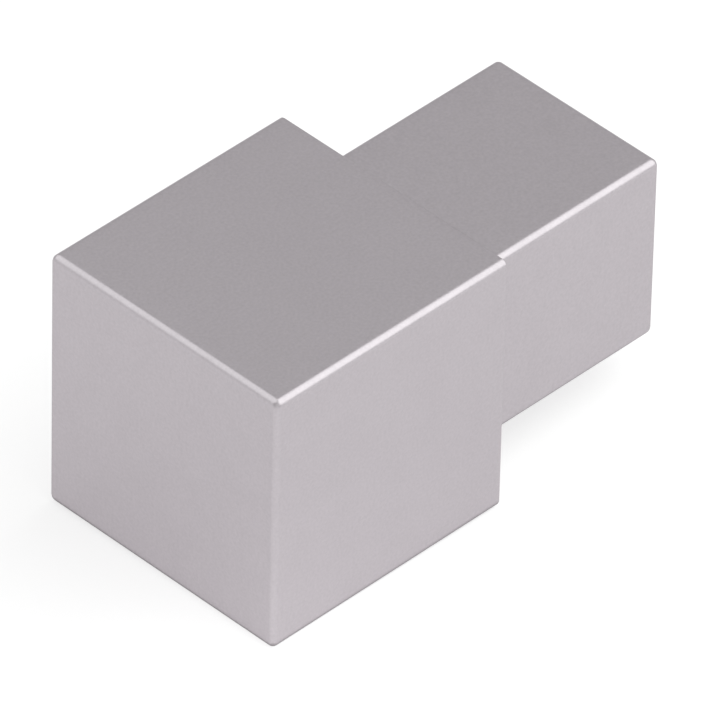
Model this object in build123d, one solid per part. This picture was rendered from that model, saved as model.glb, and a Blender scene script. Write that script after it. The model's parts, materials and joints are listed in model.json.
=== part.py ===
from build123d import *
import os

# Corner connector for frames and edge trims made of square hollow profile, cast in one piece.
# The block is a cube that closes the corner.  One profile slides over the plug until its cut
# end meets the block's shoulder, and its outer faces then run flush with the block's.
#
# Millimetres.  The origin is the middle of the shoulder, on the plug's axis: +X points out
# along the plug, +Z is up, and the block lies on the -X side.

# Driving dimensions
block_side = 12.5        # the cube, each way: the outside of the profiles that it joins
profile_wall = 1.7       # wall of the profile that slides over the plug
slip_clearance = 0.1     # room between the plug and that wall, on each side
plug_length = 10.4       # from the shoulder to the plug's end
top_round = 0.3          # rounding of the edges round the top, which stay in sight
upright_round = 0.25     # rounding of the upright edges, which lie along the mould's draw
under_round = 0.4        # rounding of the edges underneath, the deepest in the mould
shoulder_round = 0.05    # the shoulder's rim is kept crisp, so that the joint stays tight

# Derived
plug_side = block_side - 2 * (profile_wall + slip_clearance)


def free(edges):
    """The edges that don't lie in the shoulder's plane."""
    return edges.filter_by(lambda edge: abs(edge.center().X) > shoulder_round)


def round_free_edges(prism):
    """Rounds a prism's edges, the largest radius first, and leaves those at the shoulder."""
    prism = fillet(free(prism.edges().group_by(Axis.Z)[0]), under_round)
    prism = fillet(free(prism.edges().group_by(Axis.Z)[-1]), top_round)
    return fillet(free(prism.edges().filter_by(Axis.Z)), upright_round)


def make_block():
    """The cube, with soft outer edges and a crisp rim round the shoulder."""
    cube = Box(
        block_side,
        block_side,
        block_side,
        align=(Align.MAX, Align.CENTER, Align.CENTER),
    )
    block = round_free_edges(cube)
    shoulder = block.faces().sort_by(Axis.X)[-1]
    return fillet(shoulder.edges(), shoulder_round)


def make_plug():
    """The square plug, with soft long edges and end, and square to the shoulder."""
    bar = Box(
        plug_length,
        plug_side,
        plug_side,
        align=(Align.MIN, Align.CENTER, Align.CENTER),
    )
    return round_free_edges(bar)


def make_connector():
    """Block and plug fused into one solid."""
    connector = make_block() + make_plug()
    connector.label = "corner_connector"
    return connector


os.makedirs("parts", exist_ok=True)
connector = make_connector()
export_step(connector, "parts/corner_connector.step")
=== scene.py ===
# %% [markdown]
# # A corner connector in satin metal
#
# The object is one small solid: a cube that closes the corner of a trim or a frame, and a
# square plug on one of its faces that slides into a hollow profile.  It has no second piece and
# no second colour, so everything that the eye reads as metal comes from three things: the soft
# edges, the fine grain of the finish, and what stands around it in the studio.
#
# The solid arrives finished from the CAD model, edges included, and is never reshaped here.
# The steps are: load the solid, give it its finish, then build the table, the lamps and the
# camera.

# %% Load the solid
import bpy
import json
import math
from mathutils import Matrix, Vector

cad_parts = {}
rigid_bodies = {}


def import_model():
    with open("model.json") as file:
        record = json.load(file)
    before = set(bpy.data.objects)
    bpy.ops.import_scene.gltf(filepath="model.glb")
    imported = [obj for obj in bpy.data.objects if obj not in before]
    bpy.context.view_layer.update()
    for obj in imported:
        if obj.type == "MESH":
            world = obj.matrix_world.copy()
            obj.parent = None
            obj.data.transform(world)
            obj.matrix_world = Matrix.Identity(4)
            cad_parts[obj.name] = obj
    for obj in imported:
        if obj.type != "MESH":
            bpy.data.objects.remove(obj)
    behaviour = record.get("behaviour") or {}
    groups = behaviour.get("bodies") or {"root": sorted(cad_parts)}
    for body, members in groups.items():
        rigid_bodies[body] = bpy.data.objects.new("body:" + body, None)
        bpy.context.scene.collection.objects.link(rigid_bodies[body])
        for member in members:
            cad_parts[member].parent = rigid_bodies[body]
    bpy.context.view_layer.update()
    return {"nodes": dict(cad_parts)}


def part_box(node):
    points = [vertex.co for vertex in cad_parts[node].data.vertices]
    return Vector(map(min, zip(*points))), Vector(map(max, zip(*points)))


for leftover in list(bpy.data.objects):
    bpy.data.objects.remove(leftover)

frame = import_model()
connector = frame["nodes"]["corner_connector"]

MILLIMETRE = 0.001
low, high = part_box("corner_connector")
block_side = high.z - low.z
plug_length = high.x
print(f"block {block_side / MILLIMETRE:.2f} mm, plug {plug_length / MILLIMETRE:.2f} mm long")

# %% [markdown]
# ## Writing shader maths as expressions
#
# A material is a small circuit.  Wired by hand, a formula such as `1 - mask * 0.5` takes a
# dozen lines that nobody can read back.  The class below wraps one output socket and overloads
# the arithmetic operators, so that each operation adds its Math node and the formula stays a
# formula.  The reflected forms let a plain number stand on the left.

# %% A socket that does arithmetic
class Signal:
    """One output socket of a node tree, usable in arithmetic with numbers and other signals."""

    def __init__(self, tree, socket):
        self.tree = tree
        self.socket = socket

    def math(self, operation, first, second):
        made = self.tree.node(
            "ShaderNodeMath", {"operation": operation}, {0: first, 1: second}
        )
        return made["Value"]

    def __add__(self, other):
        return self.math("ADD", self, other)

    __radd__ = __add__

    def __sub__(self, other):
        return self.math("SUBTRACT", self, other)

    def __rsub__(self, other):
        return self.math("SUBTRACT", other, self)

    def __mul__(self, other):
        return self.math("MULTIPLY", self, other)

    __rmul__ = __mul__

    def __rtruediv__(self, other):
        return self.math("DIVIDE", other, self)

    def __abs__(self):
        return self.math("ABSOLUTE", self, 0.0)

    def __gt__(self, other):
        return self.math("GREATER_THAN", self, other)

    def least(self, other):
        return self.math("MINIMUM", self, other)

    def most(self, other):
        return self.math("MAXIMUM", self, other)


# %% [markdown]
# Two more small classes do the wiring.  `Tree.node` makes any node from its type, its settings
# and its sockets, whether a socket gets a number or a signal.  `Made` gives its outputs back by
# name.

# %% A tree that makes nodes
class Made:
    """A node that has been made: indexing it by name gives an output as a Signal."""

    def __init__(self, tree, node):
        self.tree = tree
        self.raw = node

    def __getitem__(self, name):
        return Signal(self.tree, self.raw.outputs[name])


class Tree:
    """The node tree of a material or of the world, emptied and ready for new nodes."""

    def __init__(self, owner):
        owner.use_nodes = True
        self.raw = owner.node_tree
        self.raw.nodes.clear()

    def node(self, kind, settings=None, sockets=None):
        made = self.raw.nodes.new(kind)
        for name, value in (settings or {}).items():
            setattr(made, name, value)
        for name, value in (sockets or {}).items():
            target = made.inputs[name]
            if isinstance(value, Signal):
                self.raw.links.new(value.socket, target)
            else:
                target.default_value = value
        return Made(self, made)


# %% [markdown]
# ## Grain and cloud
#
# The real piece is blasted with fine grit and then anodised.  The grit leaves pits of about a
# tenth of a millimetre and less, so a face seems even from a distance and faintly mottled close
# up.  Over a millimetre or more lie softer differences, where the blasting dwelt a little
# longer.
#
# An image of such a surface would stretch and tile.  Noise in the object's own coordinates has
# neither fault, and it runs round the edges without a seam.  The coordinates are in metres, so
# a noise scale of one over a length gives lumps of about that length.

# %% Noise by its size, and a colour in many shades
GRAIN_SIZE = 0.13 * MILLIMETRE
CLOUD_SIZE = 1.4 * MILLIMETRE


def noise(tree, place, size, detail):
    """Smooth noise from 0 to 1 whose lumps are about `size` metres across."""
    made = tree.node(
        "ShaderNodeTexNoise",
        {},
        {"Vector": place, "Scale": 1 / size, "Detail": detail, "Roughness": 0.5},
    )
    return made["Fac"]


def tinted(tree, colour, shade):
    """A constant colour made lighter or darker by a signal that hovers around 1."""
    mixed = tree.node(
        "ShaderNodeVectorMath", {"operation": "SCALE"}, {0: colour, "Scale": shade}
    )
    return mixed["Vector"]


print(f"grain {GRAIN_SIZE / MILLIMETRE:.2f} mm, cloud {CLOUD_SIZE / MILLIMETRE:.1f} mm")

# %% [markdown]
# ## Where the edges are
#
# Handling and the rim of the profile polish the edges first: they end a little smoother and
# paler than the faces.  To know how near an edge is, the shader needs no painted mask.  The
# block and the plug are boxes, so each point has three gaps, to the side, the top and the end
# of its box.  On a face the smallest gap is nil, and the middle one is the distance to the
# nearest edge.

# %% Distance to the nearest edge
PLUG_MARGIN = 1.8 * MILLIMETRE


def nearest_edge(tree, place):
    """Distance in metres from a point of the skin to the nearest edge of its own box."""
    axes = tree.node("ShaderNodeSeparateXYZ", {}, {"Vector": place})
    x, y, z = axes["X"], axes["Y"], axes["Z"]
    half_block = block_side / 2
    on_plug = x > 0.0
    half_here = half_block - on_plug * PLUG_MARGIN
    to_side = half_here - abs(y)
    to_top = half_here - abs(z)
    to_end = half_block - abs(x + half_block) + on_plug * plug_length
    return to_side.least(to_top).most(to_side.most(to_top).least(to_end))


# %% [markdown]
# ## The finish: fine matt silver
#
# The colour is a silver with a trace of warm mauve.  The faces are satin: rough enough to blur
# what they mirror into even tones, smooth enough to draw a clean bright line along each
# rounded edge.  The grain shifts colour, roughness and height a little together, because one
# pit does all three.  At a glancing angle an anodised skin mirrors less than bare polished
# metal, and the specular tint holds that edge reflection down.

# %% The satin metal
WEAR_WIDTH = 0.30 * MILLIMETRE
METAL_COLOUR = (0.519, 0.481, 0.508)
METAL_ROUGHNESS = 0.36
GLANCING_TINT = (0.76, 0.76, 0.76, 1.0)
PIT_DEPTH = 0.0015 * MILLIMETRE


def satin_metal():
    """Blasted metal: cloudy over a millimetre, grainy at a tenth, smoother at the edges."""
    material = bpy.data.materials.new("satin_metal_finish")
    tree = Tree(material)
    place = tree.node("ShaderNodeTexCoord")["Object"]
    grain = noise(tree, place, GRAIN_SIZE, 3.0)
    cloud = noise(tree, place, CLOUD_SIZE, 3.0)
    edge = tree.node(
        "ShaderNodeMapRange",
        {"interpolation_type": "SMOOTHSTEP"},
        {
            "Value": nearest_edge(tree, place),
            "From Min": 0.0,
            "From Max": WEAR_WIDTH,
            "To Min": 1.0,
            "To Max": 0.0,
        },
    )["Result"]
    worn = edge * cloud
    pits = grain - 0.5
    patches = cloud - 0.5
    shade = 1 + pits * 0.24 + patches * 0.04 + worn * 0.02
    roughness = METAL_ROUGHNESS + pits * 0.10 - patches * 0.06 - worn * 0.06
    relief = tree.node(
        "ShaderNodeBump",
        {},
        {"Strength": 0.5, "Distance": PIT_DEPTH, "Height": grain},
    )["Normal"]
    shader = tree.node(
        "ShaderNodeBsdfPrincipled",
        {},
        {
            "Base Color": tinted(tree, METAL_COLOUR, shade),
            "Metallic": 1.0,
            "Roughness": roughness,
            "Specular Tint": GLANCING_TINT,
            "Normal": relief,
        },
    )
    tree.node("ShaderNodeOutputMaterial", {}, {"Surface": shader["BSDF"]})
    print("finish:", len(tree.raw.nodes), "nodes")
    return material


finish = satin_metal()
for slot in connector.material_slots:
    slot.material = finish
print("slots dressed:", len(connector.material_slots))

# %% [markdown]
# ## The table
#
# The piece lies on a wide white table, which is all that the camera sees behind it.  The table
# matters twice: it is the background, and the metal's upright faces mirror it.  A flat round
# sheet is enough, because nothing ever shows its rim.

# %% A round table top
TABLE_RADIUS = 40 * block_side
TABLE_SPOKES = 96


def make_table():
    """A flat round sheet that touches the underside of the block."""
    rim = []
    for spoke in range(TABLE_SPOKES):
        turn = 2 * math.pi * spoke / TABLE_SPOKES
        rim.append((TABLE_RADIUS * math.cos(turn), TABLE_RADIUS * math.sin(turn), low.z))
    mesh = bpy.data.meshes.new("table")
    mesh.from_pydata(rim, [], [range(TABLE_SPOKES)])
    table = bpy.data.objects.new("table", mesh)
    bpy.context.scene.collection.objects.link(table)
    return table


# %% [markdown]
# The paper on it is half shadow-taking paper and half light of its own, for the camera and for
# reflections.  So it reads as white without more light on the object, and the shadow round the
# piece stays soft.
#
# The paper that the piece covers gets a painted shade: its glow is cut down there for
# reflections.
# The rounded lower edges mirror just that paper, and on a real table they end in a thin dark
# line, which seats the piece.  The covered paper is two rectangles, and a point's distance from
# a rectangle is the larger of its two gaps along X and Y.  Over two rectangles, the smaller
# distance counts.

# %% Where the piece covers the paper, for the painted shade under it
COVER_EDGE = 0.3 * MILLIMETRE


def covered(tree, place):
    """1 on the paper that the block and the plug cover, 0 a little way outside."""
    axes = tree.node("ShaderNodeSeparateXYZ", {}, {"Vector": place})
    x, y = axes["X"], axes["Y"]
    half_block = block_side / 2
    half_plug = half_block - PLUG_MARGIN
    from_block = (abs(x + half_block) - half_block).most(abs(y) - half_block)
    from_plug = (abs(x - plug_length / 2) - plug_length / 2).most(abs(y) - half_plug)
    return tree.node(
        "ShaderNodeMapRange",
        {"interpolation_type": "SMOOTHSTEP"},
        {
            "Value": from_block.least(from_plug),
            "From Min": 0.0,
            "From Max": COVER_EDGE,
            "To Min": 1.0,
            "To Max": 0.0,
        },
    )["Result"]


# %% [markdown]
# The camera sees the paper's glow a little stronger than the metal does, which thins the shadow
# and leaves the metal as it is.  A faint pool of light is painted into the glow in front of the
# nearest lower corner, as a lamp beside the camera would leave it, and both upright faces pick
# it up near that corner.

# %% White paper with a soft painted pool of light
PAPER_COLOUR = (0.50, 0.50, 0.50, 1.0)
PAPER_GLOW = 0.575
CAMERA_SHARE = 1.06
WHITE = (1.0, 1.0, 1.0)
POOL_CENTRE = (low.x, low.y, low.z)
POOL_RADIUS = 0.5 * block_side
POOL_GLOW = 0.13
COVER_SHADE = 0.6


def white_paper():
    """Paper that takes shadows and gives a little light of its own, with a painted pool of
    light and, in reflections, a painted shade under the piece.
    """
    material = bpy.data.materials.new("white_paper")
    tree = Tree(material)
    path = tree.node("ShaderNodeLightPath")
    place = tree.node("ShaderNodeTexCoord")["Object"]
    # painted shade: reflections see less glow on the paper under the piece
    mirrored = path["Is Glossy Ray"] * (1 - covered(tree, place) * COVER_SHADE)
    seen = path["Is Camera Ray"] * CAMERA_SHARE + path["Is Transmission Ray"] + mirrored
    # painted pool of light: the glow grows towards the nearest lower corner
    away = tree.node(
        "ShaderNodeVectorMath", {"operation": "DISTANCE"}, {0: place, 1: POOL_CENTRE}
    )["Value"]
    reach = away * (1 / POOL_RADIUS)
    pool = 1 / (1 + reach * reach)
    shader = tree.node(
        "ShaderNodeBsdfPrincipled",
        {},
        {
            "Base Color": PAPER_COLOUR,
            "Roughness": 1.0,
            "Specular IOR Level": 0.0,
            "Emission Color": tinted(tree, WHITE, seen * (PAPER_GLOW + pool * POOL_GLOW)),
            "Emission Strength": 1.0,
        },
    )
    tree.node("ShaderNodeOutputMaterial", {}, {"Surface": shader["BSDF"]})
    return material


table = make_table()
table.data.materials.append(white_paper())
print(f"table: {TABLE_RADIUS:.2f} m in radius")

# %% [markdown]
# ## The room
#
# Satin metal shows what surrounds it, only blurred.  The flat top mirrors the plain room behind
# the object, so the room's grey sets the tone of the top.  The room is a little paler near the
# horizon than overhead, as any room with a pale floor is, and that keeps the thin rims at the
# back and at the shoulder from turning dark.

# %% An even grey room
ROOM_GREY = (0.547, 0.547, 0.547, 1.0)
HORIZON_GREY = (0.75, 0.75, 0.75, 1.0)


def make_room():
    """A grey surrounding that grows paler towards the horizon."""
    world = bpy.data.worlds.new("room")
    bpy.context.scene.world = world
    tree = Tree(world)
    towards = tree.node("ShaderNodeTexCoord")["Generated"]
    climb = tree.node("ShaderNodeSeparateXYZ", {}, {"Vector": towards})["Z"]
    level = 1 - abs(climb)
    overhead = tree.node("ShaderNodeBackground", {}, {"Color": ROOM_GREY, "Strength": 1.0})
    horizon = tree.node("ShaderNodeBackground", {}, {"Color": HORIZON_GREY, "Strength": 1.0})
    blend = tree.node(
        "ShaderNodeMixShader",
        {},
        {0: level * level * level, 1: overhead["Background"], 2: horizon["Background"]},
    )
    tree.node("ShaderNodeOutputWorld", {}, {"Surface": blend["Shader"]})
    print("room:", len(tree.raw.nodes), "nodes")


make_room()

# %% [markdown]
# ## The lamps
#
# Each lamp is placed by asking what a rounded edge mirrors towards the camera.  The key stands
# high on the right and draws the bright line along the right-hand top edges of the block and
# the plug.  The fill, higher and weaker, draws the duller line along the left-hand top edge.  A
# low side card and a weak front lamp only keep the foot of that line and the nearest corner
# from going dark.  A card that should be seen in the metal but not brighten the table has its
# diffuse light switched off.

# %% Softboxes
LAMP_COLOUR = (0.965, 1.0, 0.975)
LAMP_DISTANCE = 30 * block_side


def softbox(name, direction, side, brightness):
    """A square lamp that faces the object and adds `brightness` of white in a mirror."""
    lamp = bpy.data.lights.new(name, "AREA")
    lamp.shape = "SQUARE"
    lamp.color = LAMP_COLOUR
    lamp.size = side
    lamp.energy = brightness * math.pi * side**2
    holder = bpy.data.objects.new(name, lamp)
    outwards = Vector(direction).normalized()
    holder.location = outwards * LAMP_DISTANCE
    holder.rotation_euler = outwards.to_track_quat("Z", "Y").to_euler()
    bpy.context.scene.collection.objects.link(holder)
    print(f"{name}: {side / LAMP_DISTANCE:.2f} as wide as it is far, {lamp.energy:.2f} W")
    return holder


softbox("key", (0.546, -0.444, 0.711), 42 * block_side, 1.31)
softbox("front", (-0.58, -0.60, 0.55), 32 * block_side, 0.30)
fill = softbox("fill", (-0.235, 0.535, 0.811), 37 * block_side, 0.80)
fill.visible_diffuse = False
side_card = softbox("side", (-0.83, 0.53, 0.14), 18 * block_side, 0.25)
side_card.visible_diffuse = False

# %% [markdown]
# ## The camera
#
# A small product is taken from well back with a long lens, so that its edges stay nearly
# parallel.  The camera looks down at about forty degrees and almost along the block's
# diagonal, which shows its three finished faces at once.

# %% Camera
VIEW_AZIMUTH = -45.749
VIEW_ELEVATION = 39.850
VIEW_ROLL = 1.328
VIEW_DISTANCE = 42.04 * block_side
FOCAL_LENGTH = 684.0
AIM = Vector((-0.1636, -0.0044, -0.07545)) * block_side


def make_camera():
    """Places the camera by the direction it looks in, its distance and a slight roll."""
    turn = math.radians(VIEW_AZIMUTH)
    rise = math.radians(VIEW_ELEVATION)
    looks = Vector(
        (
            -math.sin(turn) * math.cos(rise),
            math.cos(turn) * math.cos(rise),
            -math.sin(rise),
        )
    )
    lens = bpy.data.cameras.new("camera")
    lens.lens = FOCAL_LENGTH
    lens.clip_start = 0.01
    camera = bpy.data.objects.new("camera", lens)
    level = looks.to_track_quat("-Z", "Y").to_matrix()
    rolled = Matrix.Rotation(-math.radians(VIEW_ROLL), 3, looks) @ level
    camera.rotation_euler = rolled.to_euler()
    camera.location = AIM - looks * VIEW_DISTANCE
    bpy.context.scene.collection.objects.link(camera)
    bpy.context.scene.camera = camera
    return camera


camera = make_camera()
print("camera at", [round(c, 3) for c in camera.location])

# %% [markdown]
# ## Finish
#
# The view transform is Standard, so that the colours come out as they are written.

# %% The view transform
bpy.context.scene.view_settings.view_transform = "Standard"
